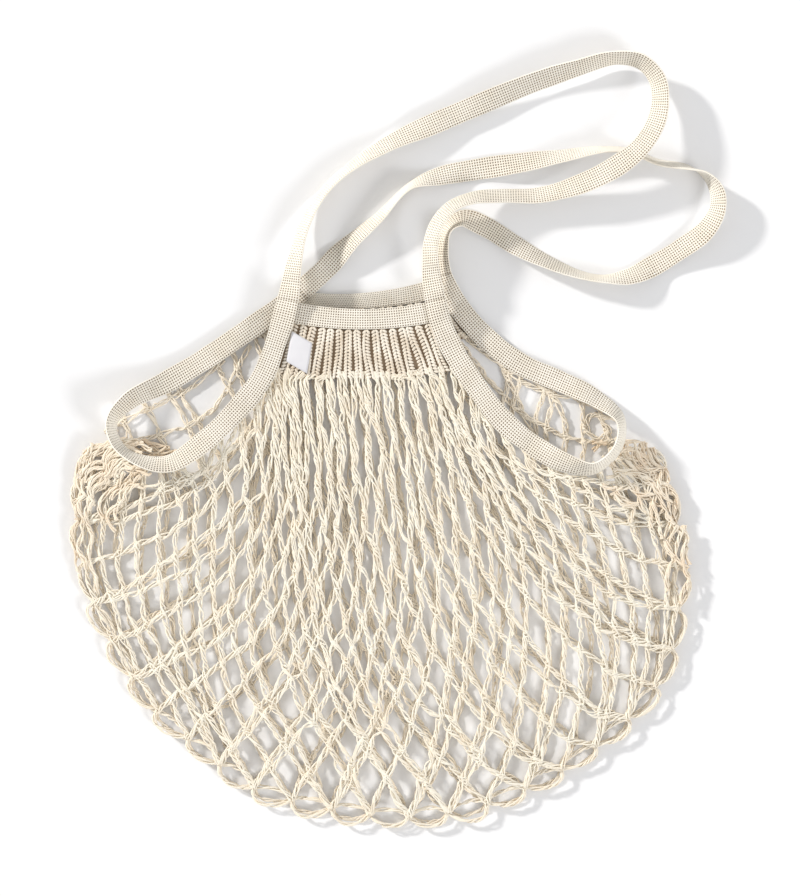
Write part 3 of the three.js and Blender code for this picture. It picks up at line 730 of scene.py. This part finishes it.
strandsDownLeft = [
    [(-0.254, 0.306), (-0.311, 0.335), (-0.376, 0.338), (-0.466, 0.344)],
    [(-0.210, 0.271), (-0.262, 0.321), (-0.327, 0.358), (-0.392, 0.383), (-0.482, 0.402)],
    [(-0.177, 0.209), (-0.205, 0.296), (-0.262, 0.373), (-0.319, 0.412), (-0.392, 0.451), (-0.487, 0.472)],
    [(-0.151, 0.170), (-0.161, 0.267), (-0.197, 0.373), (-0.254, 0.431), (-0.319, 0.474), (-0.392, 0.509),
     (-0.483, 0.538)],
    [(-0.132, 0.141), (-0.132, 0.248), (-0.161, 0.373), (-0.210, 0.456), (-0.270, 0.512), (-0.343, 0.557),
     (-0.409, 0.592), (-0.461, 0.611)],
    [(-0.116, 0.128), (-0.111, 0.248), (-0.129, 0.373), (-0.173, 0.489), (-0.230, 0.557), (-0.295, 0.611),
     (-0.360, 0.654), (-0.438, 0.688)],
    [(-0.093, 0.128), (-0.086, 0.248), (-0.099, 0.383), (-0.135, 0.509), (-0.189, 0.596), (-0.254, 0.654),
     (-0.319, 0.708), (-0.392, 0.754)],
    [(-0.067, 0.128), (-0.060, 0.248), (-0.070, 0.383), (-0.099, 0.514), (-0.148, 0.619), (-0.210, 0.688),
     (-0.278, 0.750), (-0.343, 0.818)],
    [(-0.041, 0.128), (-0.034, 0.248), (-0.041, 0.383), (-0.067, 0.518), (-0.107, 0.630), (-0.168, 0.721),
     (-0.233, 0.799), (-0.298, 0.876)],
    [(-0.015, 0.128), (-0.008, 0.248), (-0.013, 0.383), (-0.034, 0.522), (-0.070, 0.644), (-0.124, 0.746),
     (-0.189, 0.837), (-0.243, 0.934)],
    [(0.011, 0.128), (0.018, 0.248), (0.016, 0.383), (0.000, 0.526), (-0.031, 0.654), (-0.080, 0.770),
     (-0.140, 0.870), (-0.197, 0.973)],
    [(0.037, 0.128), (0.046, 0.248), (0.047, 0.383), (0.036, 0.528), (0.010, 0.657), (-0.034, 0.779),
     (-0.091, 0.886), (-0.145, 0.992)],
    [(0.063, 0.128), (0.073, 0.248), (0.078, 0.383), (0.072, 0.528), (0.050, 0.663), (0.011, 0.789),
     (-0.037, 0.895), (-0.091, 1.006)],
    [(0.090, 0.128), (0.103, 0.248), (0.111, 0.383), (0.107, 0.528), (0.093, 0.663), (0.059, 0.793),
     (0.015, 0.905), (-0.034, 1.017)],
    [(0.116, 0.128), (0.132, 0.248), (0.143, 0.383), (0.145, 0.528), (0.135, 0.663), (0.107, 0.793),
     (0.067, 0.909), (0.021, 1.021)],
    [(0.138, 0.151), (0.158, 0.257), (0.177, 0.383), (0.184, 0.528), (0.177, 0.663), (0.156, 0.793),
     (0.119, 0.909), (0.077, 1.021)],
    [(0.164, 0.205), (0.190, 0.286), (0.213, 0.393), (0.223, 0.528), (0.220, 0.663), (0.203, 0.793),
     (0.171, 0.905), (0.129, 1.017)],
    [(0.202, 0.251), (0.226, 0.325), (0.249, 0.422), (0.260, 0.538), (0.260, 0.663), (0.249, 0.789),
     (0.221, 0.895), (0.184, 1.006)],
    [(0.243, 0.277), (0.264, 0.354), (0.285, 0.441), (0.298, 0.547), (0.301, 0.663), (0.293, 0.779),
     (0.272, 0.876), (0.239, 0.982)],
    [(0.283, 0.296), (0.301, 0.373), (0.321, 0.460), (0.334, 0.557), (0.340, 0.663), (0.337, 0.766),
     (0.321, 0.857), (0.291, 0.959)],
    [(0.324, 0.309), (0.340, 0.383), (0.358, 0.470), (0.371, 0.567), (0.379, 0.663), (0.378, 0.750),
     (0.366, 0.828), (0.340, 0.934)],
    [(0.361, 0.313), (0.376, 0.393), (0.396, 0.480), (0.409, 0.567), (0.417, 0.654), (0.418, 0.731),
     (0.409, 0.804), (0.386, 0.905)],
    [(0.396, 0.306), (0.413, 0.393), (0.435, 0.480), (0.448, 0.567), (0.454, 0.644), (0.456, 0.712),
     (0.446, 0.773), (0.425, 0.866)],
    [(0.413, 0.290), (0.451, 0.373), (0.474, 0.470), (0.487, 0.557), (0.492, 0.634), (0.490, 0.696),
     (0.479, 0.760), (0.464, 0.818)],
    [(0.425, 0.267), (0.480, 0.344), (0.506, 0.441), (0.521, 0.538), (0.526, 0.625), (0.523, 0.688),
     (0.513, 0.750)],
]

# Strands of the back layer that show through the side openings, by the family they belong to
openingStrands = {
    "left": [
        [(-0.412, 0.257), (-0.327, 0.238), (-0.246, 0.193), (-0.181, 0.064)],
        [(-0.418, 0.232), (-0.343, 0.186), (-0.278, 0.147), (-0.223, 0.093)],
        [(-0.226, 0.298), (-0.190, 0.240), (-0.155, 0.166), (-0.125, 0.064)],
        [(0.221, 0.090), (0.246, 0.149), (0.274, 0.222), (0.290, 0.270)],
        [(0.270, 0.120), (0.313, 0.166), (0.332, 0.222), (0.328, 0.285)],
        [(0.163, 0.075), (0.190, 0.140), (0.215, 0.200), (0.240, 0.260)],
    ],
    "right": [
        [(0.160, 0.040), (0.221, 0.097), (0.274, 0.143), (0.322, 0.161), (0.370, 0.177), (0.418, 0.199)],
        [(0.160, 0.060), (0.221, 0.149), (0.265, 0.199), (0.313, 0.231), (0.351, 0.248), (0.410, 0.251)],
        [(0.130, 0.060), (0.165, 0.150), (0.213, 0.240), (0.246, 0.298)],
        [(0.418, 0.215), (0.374, 0.199), (0.365, 0.222), (0.384, 0.246), (0.404, 0.228), (0.390, 0.212)],
    ],
}

# Slack net gathered in folds by the far ends of the side openings: a route in side and drop, then strands,
# spread, share of the full wave, and layer
slackFolds = [
    ([(-0.340, 0.268), (-0.405, 0.276), (-0.446, 0.320), (-0.460, 0.370), (-0.462, 0.430)],
     14, 0.014, 0.9, "front"),
    ([(-0.462, 0.360), (-0.460, 0.430), (-0.455, 0.500), (-0.435, 0.590)], 4, 0.009, 0.6, "front"),
    ([(-0.350, 0.300), (-0.400, 0.330), (-0.422, 0.380), (-0.425, 0.430)], 9, 0.013, 0.9, "front"),
    ([(0.418, 0.225), (0.462, 0.250), (0.500, 0.315), (0.515, 0.390), (0.520, 0.450)],
     14, 0.014, 1, "front"),
    ([(0.512, 0.380), (0.517, 0.450), (0.519, 0.520), (0.514, 0.580)], 5, 0.007, 1, "front"),
    ([(0.395, 0.310), (0.440, 0.325), (0.478, 0.380), (0.490, 0.450)], 11, 0.016, 1, "front"),
    ([(-0.405, 0.225), (-0.370, 0.255), (-0.325, 0.268), (-0.280, 0.262)], 6, 0.005, 0.7, "back"),
    ([(0.350, 0.190), (0.390, 0.210), (0.412, 0.240), (0.395, 0.272), (0.350, 0.285)], 6, 0.006, 1, "back"),
]

net = {
    "sideStrands": 20,
    "strands": {"front": 33, "back": 26},
    "offset": {"front": 0.0, "back": 0.5},
    "seed": {"front": 11, "back": 23},
    "knots": 27,
    "rimInset": 0.0085,
    "ply": 0.00056,
    "plySpread": 0.00165,
    "plyRest": 0.9,
    "plyHeight": 0.00085,
    "periods": (0.0190, 0.0270, 0.0140, 0.0340, 0.0225),
    "phaseStep": 1.26,
    "wobblePitch": 110,
    "wobbleTurn": 1.5,
    "wobbleWide": 0.4,
    "step": 0.0025,
    "routeStep": 0.004,
    "jointSwell": 0.30,
    "jointReach": 0.0038,
    "jointGap": 0.003,
    "waver": 0.0016,
    "waverPitch": 55,
    "ripple": 0.0006,
    "ripplePitch": 60,
    "lift": 0.0001,
    "tuck": 0.0045,
    "pullFrom": 0.45,
    "pullReach": 0.03,
}


def netEdge(layer):
    # places along the top edge of a layer of the net: the left tape, the foot of the yoke, the right tape
    top = bag["hemHeight"] + bag["yokeHeight"]
    left, right = sideLines[layer]
    leftLength, rightLength = lineLength(left), lineLength(right)
    sides, ribs = net["sideStrands"], bag["ribs"]
    points = [pointAlong(left, leftLength + (top - leftLength) * m / sides) for m in range(sides)]
    for m in range(ribs + 1):
        point = pointAlong(left, top).lerp(pointAlong(right, top), m / ribs)
        point.y -= bag["yokeSag"] * 4 * (m / ribs) * (1 - m / ribs)
        points.append(point)
    points += [pointAlong(right, top + (rightLength - top) * m / sides) for m in range(1, sides + 1)]
    return points


netEdges = {layer: netEdge(layer) for layer in ("front", "back")}
outlineMiddle = sum(outline, Vector()) / len(outline)


def rimPoint(point, inset):
    return point + (outlineMiddle - point).normalized() * inset


rimCatches = evenly(outline, net["knots"])
seamKnots = [rimPoint(point, net["rimInset"]) for point in rimCatches[1:-1]]


def insideBag(point):
    inside = False
    for a, b in zip(outlineCoarse, outlineCoarse[1:] + outlineCoarse[:1]):
        if (a.y > point.y) != (b.y > point.y):
            if point.x < a.x + (b.x - a.x) * (point.y - a.y) / (b.y - a.y):
                inside = not inside
    return inside


def smoothLine(path, step):
    # a smooth curve through the path, in even steps
    fine = []
    for i in range(len(path) - 1):
        count = max(2, int((path[i + 1] - path[i]).length / (step * 0.8)))
        fine += [splinePoint(path, i + n / count, False) for n in range(count)]
    fine.append(path[-1])
    return evenly(fine, max(3, round(lineLength(fine) / step)))


def strandRoute(layer, order, guide, seed):
    # from under the tape or yoke down to the knot on the seam that lies nearest its end
    places = [planPlace(side=s, drop=d) for s, d in guide]
    edge, frontEdge = netEdges[layer], netEdges["front"]
    near = min(range(len(edge)), key=lambda m: (frontEdge[m] - places[0]).length)
    top = edge[near]
    inYoke = abs(near - len(edge) // 2) <= bag["ribs"] / 2
    if layer == "back" and (inYoke or order % 2 == 0):
        # only every second strand shows in a side opening, where the cells are wide
        places[0] = top
    elif layer == "front" and top.y > places[0].y:
        # on under the tape, at the spot that lies best in line with the strand
        back = (places[0] - places[1]).normalized()
        spots = [top] if inYoke else edge[max(near - 4, 0):near + 5]
        places.insert(0, max(spots, key=lambda spot: (spot - places[0]).normalized().dot(back)))
    places.insert(0, places[0] + (places[0] - places[1]).normalized() * net["tuck"])
    line = smoothLine(places, net["routeStep"])
    last = next((i for i in range(len(line) - 1, 0, -1) if insideBag(line[i])), len(line) - 1)
    line = line[:last + 1]
    knot = min(seamKnots, key=lambda k: (k - line[-1]).length)
    pull = knot - line[-1]
    if pull.length > net["pullReach"]:
        pull = Vector((0, 0, 0))
    for i, point in enumerate(line):
        share = max(0, (i / max(len(line) - 1, 1) - net["pullFrom"]) / (1 - net["pullFrom"]))
        point += pull * share * share
        here = Vector((point.x * net["waverPitch"], point.y * net["waverPitch"], seed))
        sway = Vector((noise.noise(here), noise.noise(here + Vector((9, 9, 9))), 0))
        loose = min(i, len(line) - 1 - i, 3) / 3
        point += sway * net["waver"] * 2 * loose
    return smoothLine(line, net["step"])


def guideBetween(first, second, share):
    # a guide that lies between two neighbours
    a, b = ([Vector((s, d, 0)) for s, d in guide] for guide in (first, second))
    return [tuple(p.lerp(q, share))[:2] for p, q in zip(evenly(a, 9), evenly(b, 9))]


def respread(guides, count, offset):
    # a family with another number of strands, or set half a pitch aside
    out = []
    for n in range(count):
        place = (n + offset) * (len(guides) - 1) / (count - 1 + 2 * offset)
        i = min(int(place), len(guides) - 2)
        out.append(guideBetween(guides[i], guides[i + 1], place - i))
    return out


def onLayer(layer, line, seed):
    # the flat route, laid on its layer of the bag with a slight ripple
    out = []
    for point in line:
        here = Vector((point.x * net["ripplePitch"], point.y * net["ripplePitch"], seed))
        ripple = abs(noise.noise(here) * net["ripple"])
        height = underside(layer, point) + bag["knit"] / 2 + net["lift"] + ripple
        out.append(Vector((point.x, point.y, height)) + mouthPlace)
    return out


def crossings(firstLines, secondLines):
    # strand and point of one family, strand and point of the other, wherever two of them meet
    cell = net["routeStep"]
    cells = {}
    for n, line in enumerate(secondLines):
        for i, point in enumerate(line):
            cells.setdefault((round(point.x / cell), round(point.y / cell)), []).append((n, i, point))
    found = []
    for m, line in enumerate(firstLines):
        met = {}
        for i, point in enumerate(line):
            near = (round(point.x / cell), round(point.y / cell))
            for dx in (-1, 0, 1):
                for dy in (-1, 0, 1):
                    for n, k, other in cells.get((near[0] + dx, near[1] + dy), ()):
                        gap = (other - point).length
                        if gap < met.get(n, (net["jointGap"], 0, 0))[0]:
                            met[n] = (gap, i, k)
        found += [(m, i, n, k) for n, (gap, i, k) in met.items()]
    return found


def plyPoints(line, turnStart, joints=(), spread=1.0):
    # loose yarns that wander side by side along the line and spread at each joint
    plies = [[] for _ in net["periods"]]
    run = 0.0
    reach = net["jointReach"] / net["step"]
    for i, point in enumerate(line):
        ahead = line[min(i + 1, len(line) - 1)] - line[max(i - 1, 0)]
        along = ahead.normalized()
        aside = along.cross(Vector((0, 0, 1))).normalized()
        above = aside.cross(along)
        near = min((abs(i - k) / reach for k in joints), default=math.inf)
        wide = spread * net["plySpread"] * (net["plyRest"] + net["jointSwell"] * math.exp(-near * near))
        here = Vector((point.x * net["wobblePitch"], point.y * net["wobblePitch"], turnStart))
        wobble = noise.noise(here)
        for n, period in enumerate(net["periods"]):
            phase = turnStart * (n + 1) + run / period * 2 * math.pi
            phase += n * net["phaseStep"] + wobble * net["wobbleTurn"]
            place = point + aside * (math.cos(phase) * wide * (1 + net["wobbleWide"] * wobble))
            plies[n].append(place + above * (math.sin(phase) * net["plyHeight"]))
        if i + 1 < len(line):
            run += (line[i + 1] - point).length
    return plies


def cordPiece(name, lines, thickness, material, slot, *nodes):
    # many cords as one curve with a round bevel, then made a mesh
    curve = bpy.data.curves.new(name + "_route", "CURVE")
    curve.dimensions = "3D"
    curve.bevel_depth = thickness
    curve.bevel_resolution = 0
    curve.use_fill_caps = True
    for line in lines:
        spline = curve.splines.new("POLY")
        spline.points.add(len(line) - 1)
        for point, place in zip(spline.points, line):
            point.co = (*place, 1)
    holder = addObject(name + "_route", curve)
    mesh = bpy.data.meshes.new_from_object(holder.evaluated_get(bpy.context.evaluated_depsgraph_get()))
    mesh.name = name
    bpy.data.objects.remove(holder)
    bpy.data.curves.remove(curve)
    mesh.polygons.foreach_set("use_smooth", [True] * len(mesh.polygons))
    mesh.materials.clear()
    mesh.materials.append(material)
    return placePiece(name, mesh, slot, *nodes)


wrap = {"turns": 1.3, "length": 0.0032, "wide": 0.0016, "tall": 0.0013, "points": 9, "ply": 0.00052}


def jointWrap(point, along, seed):
    # a yarn wound round the two strands where they meet
    aside = along.cross(Vector((0, 0, 1))).normalized()
    out = []
    for i in range(wrap["points"]):
        t = i / (wrap["points"] - 1)
        angle = seed + t * wrap["turns"] * 2 * math.pi
        out.append(point + along * ((t - 0.5) * wrap["length"]) + aside * (math.cos(angle) * wrap["wide"])
                   + Vector((0, 0, math.sin(angle) * wrap["tall"])))
    return out


def netStrands(layer):
    chance = random.Random(net["seed"][layer])
    families = {}
    for name, guides in (("right", strandsDownRight), ("left", strandsDownLeft)):
        families[name] = []
        for order, guide in enumerate(respread(guides, net["strands"][layer], net["offset"][layer])):
            seed = chance.uniform(0, 50)
            families[name].append(onLayer(layer, strandRoute(layer, order, guide, seed), seed))
    if layer == "back":
        for name, routes in families.items():
            for guide in openingStrands[name]:
                flat = smoothLine([planPlace(side=s, drop=d) for s, d in guide], net["step"])
                routes.append(onLayer(layer, flat, chance.uniform(0, 50)))
    met = crossings(families["right"], families["left"])
    joints = {
        "right": [(strand, point) for strand, point, _, _ in met],
        "left": [(strand, point) for _, _, strand, point in met],
    }
    for name, routes in families.items():
        cords = []
        for m, line in enumerate(routes):
            own = [point for strand, point in joints[name] if strand == m]
            cords += plyPoints(line, chance.uniform(0, 6), own)
        cordPiece(layer + "_net_down_" + name, cords, net["ply"], netCotton, "cotton_knit", layer + "_net")
    wraps = []
    for a, i, b, k in met:
        first, second = families["right"][a], families["left"][b]
        if min(i, k) < 3 or i > len(first) - 3 or k > len(second) - 3:
            continue
        runA = (first[i + 1] - first[i - 1]).normalized()
        runB = (second[k + 1] - second[k - 1]).normalized()
        middle = (first[i] + second[k]) / 2
        wraps.append(jointWrap(middle, (runA + runB).normalized(), chance.uniform(0, 6)))
    cordPiece(layer + "_net_joints", wraps, wrap["ply"], netCotton, "cotton_knit", layer + "_net")


netStrands("front")
netStrands("back")
print("nets strung")

seam = {
    "bulge": 0.0100,
    "uneven": (0.75, 1.1),
    "arch": ((0.2, 0.75), (0.5, 1), (0.8, 0.75)),
    "loops": (("front", 1.0), ("back", 0.75), ("front", -0.45)),
    "lift": {"front": 0.0050, "back": 0.0018},
    "spread": 0.75,
    "knotLift": 0.0036,
    "knotTurns": (0, 0.9),
    "seed": 5,
}


def seamLoops():
    # a loop of yarn between every two knots of the seam, on both layers
    cords = []
    chance = random.Random(seam["seed"])
    knots = [rimPoint(point, net["rimInset"]) for point in rimCatches]
    for layer, outward in seam["loops"]:
        for a, b in zip(knots, knots[1:]):
            away = ((a + b) / 2 - outlineMiddle).normalized()
            bulge = seam["bulge"] * outward * chance.uniform(*seam["uneven"])
            path = [a, *(a.lerp(b, share) + away * bulge * height for share, height in seam["arch"]), b]
            line = [Vector((p.x, p.y, seam["lift"][layer])) + mouthPlace
                    for p in smoothLine(path, net["step"])]
            cords += plyPoints(line, chance.uniform(0, 6), (), seam["spread"])
    for knot in seamKnots:
        here = knot + mouthPlace + Vector((0, 0, seam["knotLift"]))
        run = (knot - outlineMiddle).normalized()
        cords += [jointWrap(here, run, turn) for turn in seam["knotTurns"]]
    cordPiece("seam_loops", cords, net["ply"], netCotton, "cotton_knit", "front_net", "back_net")


seamLoops()
print("seam looped")

fold = {
    "wave": 0.0030,
    "waveStep": 0.55,
    "curl": 0.0048,
    "curlStep": 0.22,
    "rise": 0.0035,
    "spread": 0.8,
    "seed": 8,
}


def slackNet():
    # strands that follow each fold side by side, waving over one another
    cords = []
    chance = random.Random(fold["seed"])
    for route, count, spread, share, layer in slackFolds:
        spine = smoothLine([planPlace(side=s, drop=d) for s, d in route], net["step"])
        wave = fold["wave"] * share
        for n in range(count):
            aside = (2 * n / (count - 1) - 1) * spread
            seed = chance.uniform(0, 50)
            rise = chance.uniform(0.2, 1) * fold["rise"]
            first, last = chance.randint(0, 5), len(spine) - chance.randint(1, 18)
            path = []
            for i in range(first, last):
                along = (spine[min(i + 1, len(spine) - 1)] - spine[max(i - 1, 0)]).normalized()
                across = Vector((-along.y, along.x, 0))
                turn = i * fold["waveStep"] + seed
                curl = noise.noise(Vector((i * fold["curlStep"], seed, 0))) * fold["curl"]
                point = spine[i] + across * (aside + curl + math.sin(turn) * wave)
                point += along * (math.cos(turn) * wave)
                if insideBag(point):
                    path.append(point)
            if len(path) < 4:
                continue
            line = [Vector((p.x, p.y, underside(layer, p) + bag["knit"] / 2 + rise)) + mouthPlace
                    for p in smoothLine(path, net["step"])]
            cords += plyPoints(line, chance.uniform(0, 6), (), fold["spread"])
    # painted shade: the folds take the darker, warmer copy of the net cotton
    cordPiece("slack_net", cords, net["ply"], slackShadedCotton, "cotton_knit", "front_net", "back_net")


slackNet()
print("slack gathered")

label = {
    "aside": (0.0030, 0.0006),
    "turn": 8,
    "skew": 0.27,
    "slack": 0.0012,
    "bend": 3.4,
    "thickness": 0.0005,
    "width": 0.0155,
    "length": 0.0215,
}


def sideLabel():
    low, high = (Vector(corner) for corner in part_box("side_label"))
    leftLine = sideLines["front"][0]
    middle = bag["hemHeight"] + bag["yokeHeight"] / 2
    place, after = pointAlong(leftLine, middle), pointAlong(leftLine, middle + 0.001)
    heading = math.atan2(after.y - place.y, after.x - place.x) + math.radians(label["turn"])
    along = Vector((math.cos(heading), math.sin(heading), 0))
    inward = Vector((-along.y, along.x, 0))
    centre = (low + high) / 2
    bm = bmesh.new()
    bmesh.ops.create_grid(bm, x_segments=10, y_segments=12, size=0.5)
    for vert in bm.verts:
        across, down = vert.co.x, vert.co.y
        curl = label["slack"] * (0.5 + 0.5 * math.sin((across + 0.5) * label["bend"])) * (0.6 + 0.4 * down)
        down += across * label["skew"]
        vert.co = (Vector((centre.x + label["aside"][0], centre.y + label["aside"][1], low.z + curl))
                   + inward * across * label["width"] + along * down * label["length"])
    bmesh.ops.recalc_face_normals(bm, faces=bm.faces[:])
    bmesh.ops.solidify(bm, geom=bm.faces[:], thickness=label["thickness"])
    for item in bm.faces:
        item.smooth = True
    white = cottonMaterial("labelCloth", (0.78, 0.77, 0.79), (0.72, 0.71, 0.74), 0.6, 2500, 0.2)
    tab = finishPiece("sewn_side_label", bm, [white], "label_cloth", "side_label")


sideLabel()
print("label sewn")

meshes = [piece.data for piece in bpy.data.objects if piece.type == "MESH"]
counts = [sum(len(face.vertices) - 2 for face in mesh.polygons) for mesh in meshes]
print("triangles", sum(counts), "largest piece", max(counts))
